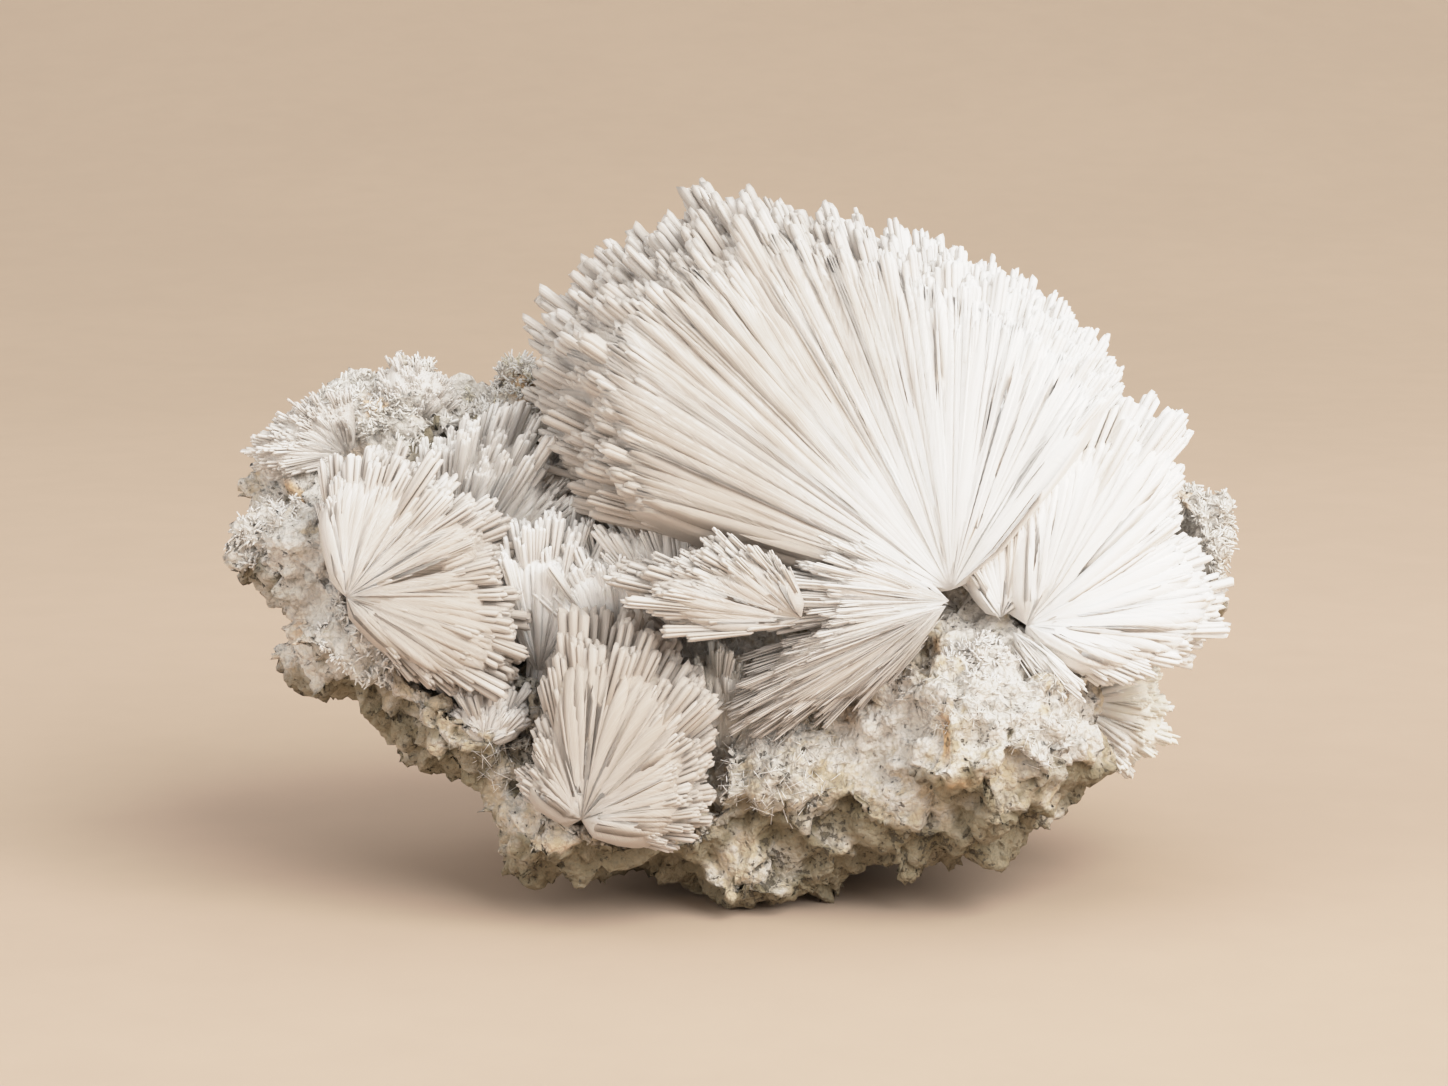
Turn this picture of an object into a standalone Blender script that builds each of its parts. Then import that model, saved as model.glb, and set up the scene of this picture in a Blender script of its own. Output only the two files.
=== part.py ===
"""Xonotlite specimen, about 120 mm wide: fans of white blade crystals grown on a piece of pale rock.

Metres, +Z up. +X is the viewer's right and +Y points away from the viewer.
The origin is on the surface that the specimen rests on, under the middle of its box.
"""

import math
import random

import bmesh
import bpy
from mathutils import Matrix, Vector

MM = 0.001

# Gap between a crystal fan and what it grows against
GAP = 0.3 * MM

# Share of a blade's reach at which it parts from its neighbours
ROOT_SHARE = 0.22
# Share of a blade's width that the groove on each side of it takes
GROOVE_SHARE = 0.09
# How unevenly the blades are spaced, as a share of their spacing
SPACING_JITTER = 0.3
# How far a blade's end is chiselled, as a share of its reach
CHISEL_SHARE = 0.025

# Each fan's blades start at its nucleus, in millimetres, and spread in a plane that leans back
# and is turned about the vertical. Its reach is the outline, as angle in that plane against length.
# Depth is how far, in degrees, the blades spread towards the viewer and away, and the shares are
# the part of the full reach that the nearest, the middle and the furthest blades have.
FANS = {
    "main_fan": {
        "nucleus": (25.1, -21.0, 38.0),
        "lean": 20,
        "turn": 0,
        "reach": [(50, 34), (65, 39), (78, 42), (90, 47), (104, 54), (117, 62),
                  (134, 65), (143, 68), (150, 62), (157, 53), (167, 47)],
        "depth": (-9, 44),
        "shares": (0.62, 1.0, 0.86),
        "blades": (30, 5),
        "shortest": 0.86,
        "colour": (0.90, 0.89, 0.86),
        "seed": 11,
    },
    "right_fan": {
        "nucleus": (33.9, -19.0, 33.6),
        "lean": 12,
        "turn": 25,
        "reach": [(-35, 13), (-20, 20), (-8, 26), (4, 30), (16, 27), (27, 26),
                  (38, 32), (45, 36), (58, 31), (73, 23), (92, 14)],
        "depth": (-10, 34),
        "shares": (0.6, 1.0, 0.9),
        "blades": (18, 4),
        "shortest": 0.84,
        "colour": (0.89, 0.87, 0.84),
        "seed": 23,
    },
    "left_fan": {
        "nucleus": (-43.7, -21.0, 37.2),
        "lean": 14,
        "turn": 8,
        "reach": [(-50, 12), (-41, 19), (-30, 24), (-18, 24), (-2, 21), (12, 20),
                  (22, 22), (38, 20), (65, 19), (90, 18), (102, 14)],
        "depth": (-8, 38),
        "shares": (0.66, 1.0, 0.9),
        "blades": (20, 4),
        "shortest": 0.86,
        "colour": (0.89, 0.87, 0.83),
        "seed": 31,
    },
    "left_rear_fan": {
        "nucleus": (-34.6, -3.0, 31.9),
        "lean": 8,
        "turn": 0,
        "reach": [(30, 22), (40, 23), (50, 24), (57, 26), (66, 25), (80, 23), (100, 21)],
        "depth": (-6, 38),
        "shares": (0.8, 1.0, 0.9),
        "blades": (11, 3),
        "shortest": 0.84,
        "colour": (0.86, 0.84, 0.79),
        "seed": 43,
    },
    "lower_fan": {
        "nucleus": (-16.8, -29.0, 13.1),
        "lean": 20,
        "turn": 0,
        "reach": [(-16, 11), (0, 15), (24, 17), (36, 19), (46, 24), (60, 24),
                  (84, 26), (96, 24), (108, 14), (128, 10), (150, 9)],
        "depth": (-10, 32),
        "shares": (0.6, 1.0, 0.92),
        "blades": (18, 4),
        "shortest": 0.86,
        "colour": (0.89, 0.87, 0.83),
        "seed": 53,
    },
    "middle_fan": {
        "nucleus": (8.0, -27.0, 35.8),
        "lean": 0,
        "turn": -6,
        "reach": [(112, 8), (124, 9), (134, 13), (150, 14), (161, 19), (166, 23), (176, 21), (190, 18)],
        "depth": (-9, 20),
        "shares": (0.7, 1.0, 0.95),
        "blades": (11, 3),
        "shortest": 0.88,
        "colour": (0.89, 0.86, 0.82),
        "seed": 61,
    },
    "inner_fan": {
        "nucleus": (-5.1, -16.0, 31.5),
        "lean": 4,
        "turn": 0,
        "reach": [(70, 16), (83, 19), (90, 21), (98, 23), (108, 18), (117, 20), (130, 18), (145, 15)],
        "depth": (-10, 20),
        "shares": (0.7, 1.0, 0.9),
        "blades": (9, 3),
        "shortest": 0.82,
        "colour": (0.86, 0.84, 0.80),
        "seed": 71,
    },
    "sweep_fan": {
        "nucleus": (24.4, -25.0, 36.9),
        "lean": -6,
        "turn": 0,
        "reach": [(193, 19), (202, 27), (211, 32), (217, 27), (224, 21), (232, 17)],
        "depth": (-6, 16),
        "shares": (0.8, 1.0, 0.95),
        "blades": (9, 2),
        "shortest": 0.84,
        "colour": (0.86, 0.81, 0.72),
        "seed": 83,
    },
    "rear_fan": {
        "nucleus": (40.3, 2.0, 20.7),
        "lean": 0,
        "turn": 0,
        "reach": [(-65, 10), (-46, 12), (-24, 14), (-2, 13), (24, 12), (54, 9)],
        "depth": (-18, 22),
        "shares": (0.85, 1.0, 0.9),
        "blades": (9, 3),
        "shortest": 0.86,
        "colour": (0.82, 0.83, 0.74),
        "seed": 97,
    },
    "valley_fan": {
        "nucleus": (-23.0, -13.0, 23.5),
        "lean": 10,
        "turn": 0,
        "reach": [(38, 12), (48, 16), (58, 20), (68, 23), (78, 19), (88, 17)],
        "depth": (-8, 24),
        "shares": (0.8, 1.0, 0.9),
        "blades": (7, 3),
        "shortest": 0.84,
        "colour": (0.85, 0.82, 0.76),
        "seed": 101,
    },
    "small_fan": {
        "nucleus": (-27.8, -20.0, 20.4),
        "lean": 10,
        "turn": 0,
        "reach": [(20, 6), (52, 7), (83, 8), (115, 7), (150, 6)],
        "depth": (-12, 40),
        "shares": (0.8, 1.0, 0.9),
        "blades": (7, 2),
        "shortest": 0.86,
        "colour": (0.86, 0.82, 0.75),
        "seed": 107,
    },
}

# A fan keeps its shape where it meets one that is named after it here, which ends against it
FRONT_TO_BACK = ["middle_fan", "lower_fan", "sweep_fan", "left_fan", "small_fan", "inner_fan",
                 "right_fan", "valley_fan", "left_rear_fan", "rear_fan", "main_fan"]

# The rock is a run of lumps grown together: centre and half-width of each, in millimetres
ROCK_LUMPS = {
    "base_middle": ((4, -3, 14), (31, 23, 14)),
    "base_front": ((3, -11, 10), (22, 12, 10)),
    "foot": ((2, -18, 5), (7, 6, 6)),
    "base_left": ((-18, -14, 12), (11, 14, 9)),
    "heart": ((6, 0, 30), (26, 16, 12)),
    "knob": ((27, -14, 20), (15, 16, 14)),
    "knob_foot": ((25, -16, 13), (14, 11, 9)),
    "knob_right": ((35, -7, 19), (10, 13, 10)),
    "knob_neck": ((30, -11, 31), (9, 9, 9)),
    "arm_root": ((-31, -6, 22), (13, 16, 9)),
    "arm_middle": ((-42, -5, 31), (11, 16, 10)),
    "arm_end": ((-49, -2, 40), (9, 14, 9)),
    "arm_shoulder": ((-50, 4, 46), (8, 11, 10)),
    "arm_top": ((-40, 9, 50), (12, 10, 12)),
    "arm_back": ((-29, 14, 40), (14, 12, 17)),
    "notch_peak": ((-25, 17, 50), (4.5, 8, 12)),
    "wall_low": ((8, 14, 20), (37, 16, 21)),
    "wall_middle": ((6, 21, 42), (34, 12, 20)),
    "wall_top": ((4, 25, 57), (22, 9, 13)),
    "wall_right": ((40, 11, 38), (15, 13, 17)),
    "rim_right": ((52, 4, 37), (9, 10, 12)),
}
ROCK_VOXEL = 1.5 * MM
ROCK_LUMP_SIZE = 9 * MM
ROCK_LUMP_HEIGHT = 5 * MM
ROCK_KNOB_SIZE = 6 * MM
ROCK_KNOB_HEIGHT = 3.5 * MM
ROCK_TRIANGLES = 2100

ROCK_COLOUR = (0.60, 0.57, 0.51)
ROCK_ROUGHNESS = 0.9
CRYSTAL_ROUGHNESS = 0.35


def clear_scene():
    for obj in list(bpy.data.objects):
        bpy.data.objects.remove(obj)


def new_collection(name):
    collection = bpy.data.collections.new(name)
    bpy.context.scene.collection.children.link(collection)
    return collection


def new_material(name, colour, roughness):
    material = bpy.data.materials.new(name)
    material.use_nodes = True
    shader = material.node_tree.nodes["Principled BSDF"]
    shader.inputs["Base Color"].default_value = (*colour, 1.0)
    shader.inputs["Roughness"].default_value = roughness
    shader.inputs["Metallic"].default_value = 0.0
    return material


def new_object(name, bm, collection, material=None):
    mesh = bpy.data.meshes.new(name)
    bm.to_mesh(mesh)
    bm.free()
    obj = bpy.data.objects.new(name, mesh)
    collection.objects.link(obj)
    if material:
        mesh.materials.append(material)
    return obj


def between(pairs, at):
    """The value at a point of a line through (point, value) pairs."""
    for (low, first), (high, last) in zip(pairs, pairs[1:]):
        if at <= high:
            return first + (last - first) * max(0.0, at - low) / (high - low)
    return pairs[-1][1]


def reach_of(fan, across, deep):
    """A blade's length in metres. Across and deep run from 0 to 1 over the fan's angles and its depth."""
    first, last = fan["reach"][0][0], fan["reach"][-1][0]
    near, middle, far = fan["shares"]
    length = between(fan["reach"], first + (last - first) * across)
    return length * MM * between([(0.0, near), (0.35, middle), (1.0, far)], deep)


def direction_of(fan, across, deep):
    """The unit vector of a blade in the fan's own frame, whose plane is X and Z."""
    first, last = fan["reach"][0][0], fan["reach"][-1][0]
    angle = math.radians(first + (last - first) * across)
    low, high = fan["depth"]
    tilt = math.radians(low + (high - low) * deep)
    return Vector((math.cos(tilt) * math.cos(angle), math.sin(tilt), math.cos(tilt) * math.sin(angle)))


def fan_mesh(fan):
    """Blades fused at the root. Each face of a curved patch round the nucleus grows outwards into a blade."""
    chance = random.Random(fan["seed"])
    columns, rows = fan["blades"]
    bm = bmesh.new()
    bmesh.ops.create_grid(bm, x_segments=columns, y_segments=rows, size=1.0)
    cells = list(bm.faces)
    rim = [edge for edge in bm.edges if edge.is_boundary]
    places = {}
    for vert in bm.verts:
        across, deep = (vert.co.x + 1) / 2, (vert.co.y + 1) / 2
        if 0.001 < across < 0.999:
            across += chance.uniform(-1, 1) * SPACING_JITTER / columns
        if 0.001 < deep < 0.999:
            deep += chance.uniform(-1, 1) * SPACING_JITTER / rows
        places[vert] = (across, deep)
    for vert, (across, deep) in places.items():
        vert.co = direction_of(fan, across, deep) * reach_of(fan, across, deep) * ROOT_SHARE
    lengths = []
    for cell in cells:
        across = sum(places[v][0] for v in cell.verts) / len(cell.verts)
        deep = sum(places[v][1] for v in cell.verts) / len(cell.verts)
        lengths.append(reach_of(fan, across, deep) * chance.uniform(fan["shortest"], 1.0))
    skirt = bmesh.ops.extrude_edge_only(bm, edges=rim)["geom"]
    tip = [part for part in skirt if isinstance(part, bmesh.types.BMVert)]
    bmesh.ops.pointmerge(bm, verts=tip, merge_co=(0, 0, 0))
    bmesh.ops.recalc_face_normals(bm, faces=bm.faces)
    bmesh.ops.inset_individual(bm, faces=cells, thickness=GROOVE_SHARE, use_relative_offset=True)
    for cell, length in zip(cells, lengths):
        middle = cell.calc_center_median()
        slope = Vector([chance.uniform(-1, 1) for _ in range(3)])
        for vert in cell.verts:
            chisel = CHISEL_SHARE * (1 if slope.dot(vert.co - middle) > 0 else -1)
            vert.co = vert.co.normalized() * length * (1 + chisel)
    bmesh.ops.recalc_face_normals(bm, faces=bm.faces)
    return bm


def make_fan(name, fan, collection):
    material = new_material(name, fan["colour"], CRYSTAL_ROUGHNESS)
    obj = new_object(name, fan_mesh(fan), collection, material)
    obj.location = Vector(fan["nucleus"]) * MM
    obj.rotation_euler = (math.radians(-fan["lean"]), 0, math.radians(fan["turn"]))
    bpy.context.view_layer.update()
    return obj


def wrapped(obj, collection):
    """A cutter: the simplest closed shape round an object, larger by the gap."""
    bm = bmesh.new()
    for vert in obj.data.vertices:
        bm.verts.new(obj.matrix_world @ vert.co)
    hull = bmesh.ops.convex_hull(bm, input=bm.verts)
    loose = {part for part in hull["geom_interior"] + hull["geom_unused"] if isinstance(part, bmesh.types.BMVert)}
    bmesh.ops.delete(bm, geom=list(loose), context="VERTS")
    bmesh.ops.dissolve_limit(bm, angle_limit=math.radians(9), verts=bm.verts, edges=bm.edges)
    bmesh.ops.triangulate(bm, faces=bm.faces)
    bm.normal_update()
    outwards = [(vert, vert.normal.copy()) for vert in bm.verts]
    for vert, normal in outwards:
        vert.co += normal * GAP * 1.6
    return as_cutter(new_object("round_" + obj.name, bm, collection))


def as_cutter(obj):
    obj.hide_render = True
    obj.display_type = "WIRE"
    return obj


def cut(obj, cutters):
    """Takes the cutters out of an object, and keeps the largest piece that is left."""
    for cutter in cutters:
        modifier = obj.modifiers.new("without_" + cutter.name, "BOOLEAN")
        modifier.operation = "DIFFERENCE"
        modifier.solver = "EXACT"
        modifier.object = cutter
    settle(obj)
    bm = bmesh.new()
    bm.from_mesh(obj.data)
    keep_largest(bm)
    bmesh.ops.triangulate(bm, faces=bm.faces)
    bm.to_mesh(obj.data)
    bm.free()


def settle(obj):
    """Makes an object's modifiers part of its mesh."""
    graph = bpy.context.evaluated_depsgraph_get()
    mesh = bpy.data.meshes.new_from_object(obj.evaluated_get(graph))
    obj.modifiers.clear()
    obj.data = mesh


def keep_largest(bm):
    unseen = set(bm.faces)
    islands = []
    while unseen:
        island, edge_of_search = set(), [unseen.pop()]
        while edge_of_search:
            face = edge_of_search.pop()
            island.add(face)
            near = {other for edge in face.edges for other in edge.link_faces} & unseen
            unseen -= near
            edge_of_search.extend(near)
        islands.append(island)
    largest = max(islands, key=lambda faces: sum(face.calc_area() for face in faces))
    crumbs = [face for face in bm.faces if face not in largest]
    bmesh.ops.delete(bm, geom=crumbs, context="FACES")


def new_texture(name, kind, size):
    texture = bpy.data.textures.new(name, kind)
    texture.noise_scale = size
    return texture


def roughen(obj, texture, height):
    modifier = obj.modifiers.new(texture.name, "DISPLACE")
    modifier.texture = texture
    modifier.strength = height
    modifier.mid_level = 0.5


def make_rock(collection, cutters):
    """Lumps joined by a voxel remesh, roughened at two scales, thinned out, and cut to the fans and the floor."""
    bm = bmesh.new()
    for centre, half in ROCK_LUMPS.values():
        place = Matrix.Translation(Vector(centre) * MM) @ Matrix.Diagonal((*(Vector(half) * MM), 1))
        bmesh.ops.create_icosphere(bm, subdivisions=3, radius=1.0, matrix=place)
    material = new_material("matrix_rock", ROCK_COLOUR, ROCK_ROUGHNESS)
    rock = new_object("matrix_rock", bm, collection, material)
    remesh = rock.modifiers.new("join_lumps", "REMESH")
    remesh.mode = "VOXEL"
    remesh.voxel_size = ROCK_VOXEL
    roughen(rock, new_texture("lumps", "CLOUDS", ROCK_LUMP_SIZE), ROCK_LUMP_HEIGHT)
    roughen(rock, new_texture("knobs", "VORONOI", ROCK_KNOB_SIZE), -ROCK_KNOB_HEIGHT)
    settle(rock)
    thin = rock.modifiers.new("thin_out", "DECIMATE")
    thin.ratio = ROCK_TRIANGLES / (2 * len(rock.data.polygons))
    settle(rock)
    cut(rock, cutters)
    return rock


def floor_cutter(collection):
    """Everything under the surface that the specimen rests on."""
    bm = bmesh.new()
    side = 300 * MM
    bmesh.ops.create_cube(bm, size=side, matrix=Matrix.Translation((0, 0, -side / 2)))
    return as_cutter(new_object("below_the_floor", bm, collection))


def centre_on_base(objects):
    """Moves the whole specimen so that the origin is under the middle of its box."""
    corners = [obj.matrix_world @ vert.co for obj in objects for vert in obj.data.vertices]
    middle = [(min(c[i] for c in corners) + max(c[i] for c in corners)) / 2 for i in range(2)]
    for obj in objects:
        obj.location -= Vector((middle[0], middle[1], 0))


def build():
    clear_scene()
    specimen = new_collection("xonotlite_specimen")
    cutters = new_collection("cutters")
    fans, wraps = [], []
    for name in FRONT_TO_BACK:
        fan = make_fan(name, FANS[name], specimen)
        if wraps:
            cut(fan, wraps)
        wraps.append(wrapped(fan, cutters))
        fans.append(fan)
    rock = make_rock(specimen, [*wraps, floor_cutter(cutters)])
    centre_on_base([*fans, rock])


build()
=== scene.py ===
# %% [markdown]
# # A xonotlite specimen
# The mineral xonotlite grows as thin white blades. They start at one point, a nucleus, and spread
# from it like a fan, many hundreds together. This specimen has eleven such fans on a lump of pale,
# pitted matrix rock, with a crust of short crystals on its edges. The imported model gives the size,
# the rock's form and each fan's place. This script makes what gives the specimen its look: the
# blades, the crust, the grain of the rock, and their finishes.

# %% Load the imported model
import math

import bmesh
import bpy
import numpy as np
from mathutils import Matrix, Vector, noise


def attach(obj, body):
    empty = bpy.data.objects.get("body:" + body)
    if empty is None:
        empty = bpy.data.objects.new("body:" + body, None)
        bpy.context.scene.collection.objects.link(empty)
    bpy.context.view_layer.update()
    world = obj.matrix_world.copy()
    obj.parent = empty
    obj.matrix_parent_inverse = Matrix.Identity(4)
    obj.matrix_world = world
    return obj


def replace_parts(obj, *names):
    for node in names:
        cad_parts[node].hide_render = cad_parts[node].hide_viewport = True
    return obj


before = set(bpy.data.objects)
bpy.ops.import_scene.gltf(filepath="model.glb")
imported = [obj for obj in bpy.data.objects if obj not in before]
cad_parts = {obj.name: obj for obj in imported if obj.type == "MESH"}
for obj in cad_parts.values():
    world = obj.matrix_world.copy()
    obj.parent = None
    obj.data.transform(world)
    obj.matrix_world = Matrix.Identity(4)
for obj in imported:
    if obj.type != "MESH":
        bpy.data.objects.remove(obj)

MM = 0.001
UP = Vector((0, 0, 1))
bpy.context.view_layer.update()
print("solids:", sorted(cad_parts))

# %% [markdown]
# ## Sums on sockets
# A finish here is a little arithmetic: so much white, less where painted shade lies in a hollow, more where a stain is.
# Blender has a Math node for each step of such a sum, and a long chain of them is hard to read. The
# class below wraps a socket and lets Python's own signs make the nodes, so `1 - hollow` is written
# as it is meant. Colours are blended with a Mix node, because a Math node would turn them grey.

# %% Sockets that can be added and multiplied
class Signal:
    def __init__(self, finish, socket):
        self.finish = finish
        self.socket = socket

    def sum_with(self, operation, other, turned=False):
        pair = (other, self) if turned else (self, other)
        return self.finish.node("ShaderNodeMath", {"operation": operation}, {0: pair[0], 1: pair[1]})

    def __add__(self, other):
        return self.sum_with("ADD", other)

    def __sub__(self, other):
        return self.sum_with("SUBTRACT", other)

    def __rsub__(self, other):
        return self.sum_with("SUBTRACT", other, turned=True)

    def __mul__(self, other):
        return self.sum_with("MULTIPLY", other)

    __radd__ = __add__
    __rmul__ = __mul__

    def between(self, low, high):
        """0 below low and 1 above high, with a soft change."""
        values = {"Value": self, "From Min": low, "From Max": high}
        return self.finish.node("ShaderNodeMapRange", {"interpolation_type": "SMOOTHSTEP"}, values)


class Finish:
    """A material that is written as expressions on its signals."""

    def __init__(self, name, roughness):
        self.material = bpy.data.materials.new(name)
        self.material.use_nodes = True
        self.nodes = self.material.node_tree.nodes
        self.links = self.material.node_tree.links
        self.shader = self.nodes["Principled BSDF"]
        self.shader.inputs["Roughness"].default_value = roughness

    def node(self, kind, settings=None, values=None, output=0):
        made = self.nodes.new(kind)
        for key, setting in (settings or {}).items():
            setattr(made, key, setting)
        for key, value in (values or {}).items():
            self.feed(made.inputs[key], value)
        return Signal(self, made.outputs[output])

    def feed(self, socket, value):
        if isinstance(value, Signal):
            self.links.new(value.socket, socket)
        else:
            socket.default_value = value

    def mix(self, share, first, second):
        colours = {0: share}
        for key, colour in ((6, first), (7, second)):
            colours[key] = colour if isinstance(colour, Signal) else (*colour, 1.0)
        return self.node("ShaderNodeMix", {"data_type": "RGBA"}, colours, output=2)

    def mottle(self, where, size, detail=3.0, roughness=0.6):
        """A cloudy pattern from 0 to 1, with blotches of a size given in the units of where."""
        values = {"Vector": where, "Scale": 1.0 / size, "Detail": detail, "Roughness": roughness}
        return self.node("ShaderNodeTexNoise", None, values)

    def attribute(self, name):
        return self.node("ShaderNodeAttribute", {"attribute_name": name}, output=2)


print("sums on sockets are ready")

# %% [markdown]
# ## The camera, the floor and the light
# The specimen stands on a pale, seamless sweep of paper, seen from a little above with a long lens,
# which keeps its two sides nearly parallel. Most of the light comes from all round, and a large soft
# lamp at the right adds to it, so the right side is the brightest. White crystals need such light: a
# hard lamp would turn every groove between two blades black. Light bounces from blade to blade many
# times before it dies out between such white walls, so Cycles is allowed more bounces than usual.

# %% Camera
CAMERA_LENS = 100
CAMERA_DISTANCE = 0.478
CAMERA_HEIGHT_ANGLE = math.radians(9)
CAMERA_AIM = Vector((-1.5, -2.0, 40.1)) * MM

towards_camera = Vector((0, -math.cos(CAMERA_HEIGHT_ANGLE), math.sin(CAMERA_HEIGHT_ANGLE)))
camera = bpy.data.objects.new("camera", bpy.data.cameras.new("camera"))
camera.data.lens = CAMERA_LENS
camera.data.clip_start = 0.01
camera.location = CAMERA_AIM + towards_camera * CAMERA_DISTANCE
camera.rotation_euler = (-towards_camera).to_track_quat("-Z", "Y").to_euler()
bpy.context.scene.collection.objects.link(camera)
bpy.context.scene.camera = camera
print("camera at", [round(x, 3) for x in camera.location])

# %% [markdown]
# ## The brightest tones
# White crystals in bright light come close to the brightest tone that a picture can hold. A camera
# rolls such tones off gently, so that the light side and the dark side of a blade still differ. The
# Standard view has no such roll-off and would cut them off flat. A curve laid over it leaves the
# darker tones as they are and bends only the brightest ones over.

# %% Tone curve
BRIGHTEST = 1.4
# How bright the light is, and how bright it is shown
TONE_CURVE = ((0.3, 0.33), (0.5, 0.54), (0.8, 0.765), (1.0, 0.845), (BRIGHTEST, 0.93))


def roll_off():
    view = bpy.context.scene.view_settings
    view.view_transform = "Standard"
    view.use_curve_mapping = True
    view.curve_mapping.white_level = (BRIGHTEST,) * 3
    curve = view.curve_mapping.curves[3]
    for light, shown in TONE_CURVE[:-1]:
        curve.points.new(light / BRIGHTEST, shown)
    curve.points[len(curve.points) - 1].location = (1.0, TONE_CURVE[-1][1])
    view.curve_mapping.update()
    return [tuple(round(value, 2) for value in point.location) for point in curve.points]


print("tone curve:", roll_off())

# %% Sweep
SWEEP_COLOUR = (0.59, 0.455, 0.352)
SWEEP_FRONT, SWEEP_BACK, SWEEP_RISE = -1.2, 0.45, 1.0
SWEEP_BEND, SWEEP_WIDTH = 1.6, 5.0


def paper_sweep():
    """A sheet that lies flat, bends up behind the specimen and stands: a profile drawn out sideways."""
    bm = bmesh.new()
    corner = bm.verts.new((-SWEEP_WIDTH / 2, SWEEP_FRONT, 0))
    flat_end = bm.verts.new((-SWEEP_WIDTH / 2, SWEEP_BACK, 0))
    bm.edges.new((corner, flat_end))
    bend = bmesh.ops.spin(bm, geom=[flat_end], cent=(0, SWEEP_BACK, SWEEP_BEND), axis=(1, 0, 0),
                          angle=math.radians(90), steps=48)
    top = [v for v in bend["geom_last"] if isinstance(v, bmesh.types.BMVert)]
    rise = bmesh.ops.extrude_vert_indiv(bm, verts=top)
    bmesh.ops.translate(bm, verts=rise["verts"], vec=(0, 0, SWEEP_RISE))
    sheet = bmesh.ops.extrude_edge_only(bm, edges=bm.edges)
    far_side = [v for v in sheet["geom"] if isinstance(v, bmesh.types.BMVert)]
    bmesh.ops.translate(bm, verts=far_side, vec=(SWEEP_WIDTH, 0, 0))
    bmesh.ops.recalc_face_normals(bm, faces=bm.faces)
    mesh = bpy.data.meshes.new("paper_sweep")
    bm.to_mesh(mesh)
    bm.free()
    mesh.shade_smooth()
    return mesh


def paper_finish():
    finish = Finish("paper", 0.85)
    place = finish.node("ShaderNodeTexCoord", output=3)
    cloud = finish.mottle(place, 0.15, detail=2.0) * 0.6 + finish.mottle(place, 0.012) * 0.4
    darker, lighter = (tuple(c * share for c in SWEEP_COLOUR) for share in (0.975, 1.025))
    finish.feed(finish.shader.inputs["Base Color"], finish.mix(cloud.between(0.3, 0.7), darker, lighter))
    return finish.material


sweep = bpy.data.objects.new("paper_sweep", paper_sweep())
sweep.data.materials.append(paper_finish())
bpy.context.scene.collection.objects.link(sweep)
print("sweep:", len(sweep.data.polygons), "faces")

# %% Lamps
SURROUND = (1.0, 0.99, 0.975, 1.0)
SURROUND_STRENGTH = 0.46
BOUNCES = 10
# Each lamp: where it stands, its width, its power in watts and its colour
LAMPS = {
    "window": ((0.8, -0.8, 0.95), 1.3, 25.0, (1.0, 0.99, 0.97)),
    "overhead": ((0.1, 0.3, 1.2), 1.2, 2.5, (1.0, 0.99, 0.98)),
    "fill": ((-1.0, -0.7, 0.4), 1.2, 6.0, (1.0, 0.98, 0.95)),
}

bpy.context.scene.cycles.diffuse_bounces = BOUNCES
surround = bpy.data.worlds.new("surround")
surround.use_nodes = True
surround.node_tree.nodes["Background"].inputs["Color"].default_value = SURROUND
surround.node_tree.nodes["Background"].inputs["Strength"].default_value = SURROUND_STRENGTH
bpy.context.scene.world = surround
for lamp_name, (place, width, watts, colour) in LAMPS.items():
    lamp = bpy.data.lights.new(lamp_name, "AREA")
    lamp.size = width
    lamp.energy = watts
    lamp.color = colour
    stand = bpy.data.objects.new(lamp_name, lamp)
    stand.location = place
    stand.rotation_euler = (Vector(place) - CAMERA_AIM).to_track_quat("Z", "Y").to_euler()
    bpy.context.scene.collection.objects.link(stand)
print("lamps:", ", ".join(LAMPS))

# %% [markdown]
# ## The finish of the crystals
# The blades are white and silky. Each has its own tone, from clear white to a greyer cream, and fine
# lines run along it. The tone also holds painted shade and painted light: greyer cream where a fan
# turns from the lamp, whiter where it lies in shade. The lines are a pattern on the blade's own map,
# in millimetres: across the blade it changes quickly and along the blade slowly. The fans are whitest
# at the nucleus, where the blades are imported solid, and a little clearer at the tips.

# %% Crystal finish
CRYSTAL_CREAM_AND_SHADE = (0.53, 0.465, 0.405)
CRYSTAL_WHITE = (0.955, 0.935, 0.91)
CRYSTAL_CLEAR = (0.92, 0.905, 0.885)
CRYSTAL_STAIN = (0.66, 0.58, 0.38)
LINES_ACROSS = 0.25
LINES_ALONG = 7.0


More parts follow.
